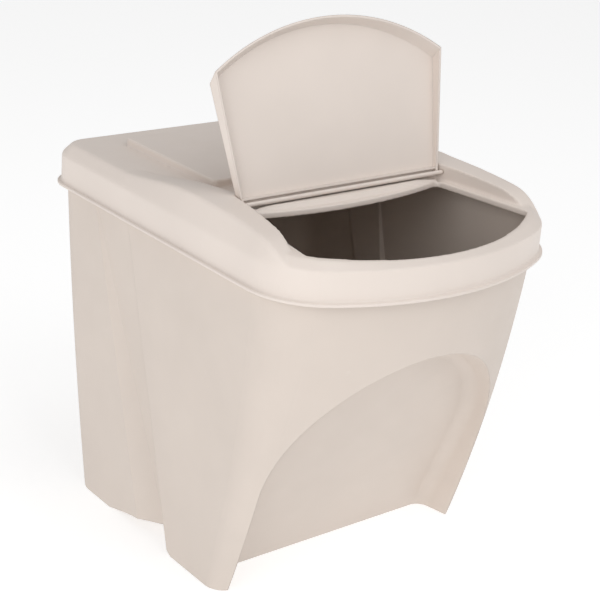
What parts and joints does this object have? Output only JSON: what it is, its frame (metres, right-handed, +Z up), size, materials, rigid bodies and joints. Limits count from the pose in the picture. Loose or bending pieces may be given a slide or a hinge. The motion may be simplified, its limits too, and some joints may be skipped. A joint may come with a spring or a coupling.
{
  "type": "pet food bin",
  "caption": "Stackable front-access pet food bin: tapered tub with an arched scoop recess, lift-off lid frame and a hinged arched flap, standing open.",
  "frame": {"origin": "on the floor under the middle of the lid bead's outline, midway between the sides and midway between front and back", "axes": "+Z up, the scoop recess and feed opening face -Y, +X is the right side seen from the front"},
  "size_m": [0.293, 0.392, 0.4643],
  "materials": {
    "tub_plastic": "fine satin moulded grain",
    "lid_plastic": "satin moulded",
    "flap_plastic": "satin moulded"
  },
  "bodies": {
    "body": {"bin_body": "tub_plastic"},
    "lid": {"lid_frame": "lid_plastic"},
    "flap": {"flap": "flap_plastic"}
  },
  "joints": [
    {"name": "lid_lift", "type": "slide", "parent": "body", "child": "lid", "axis": [0, 0, 1], "range_m": [0, 0.12]},
    {"name": "flap_hinge", "type": "hinge", "parent": "lid", "child": "flap", "pos_m": [0, -0.0455, 0.327], "axis": [1, 0, 0], "range_deg": [0, 108.8]}
  ]
}
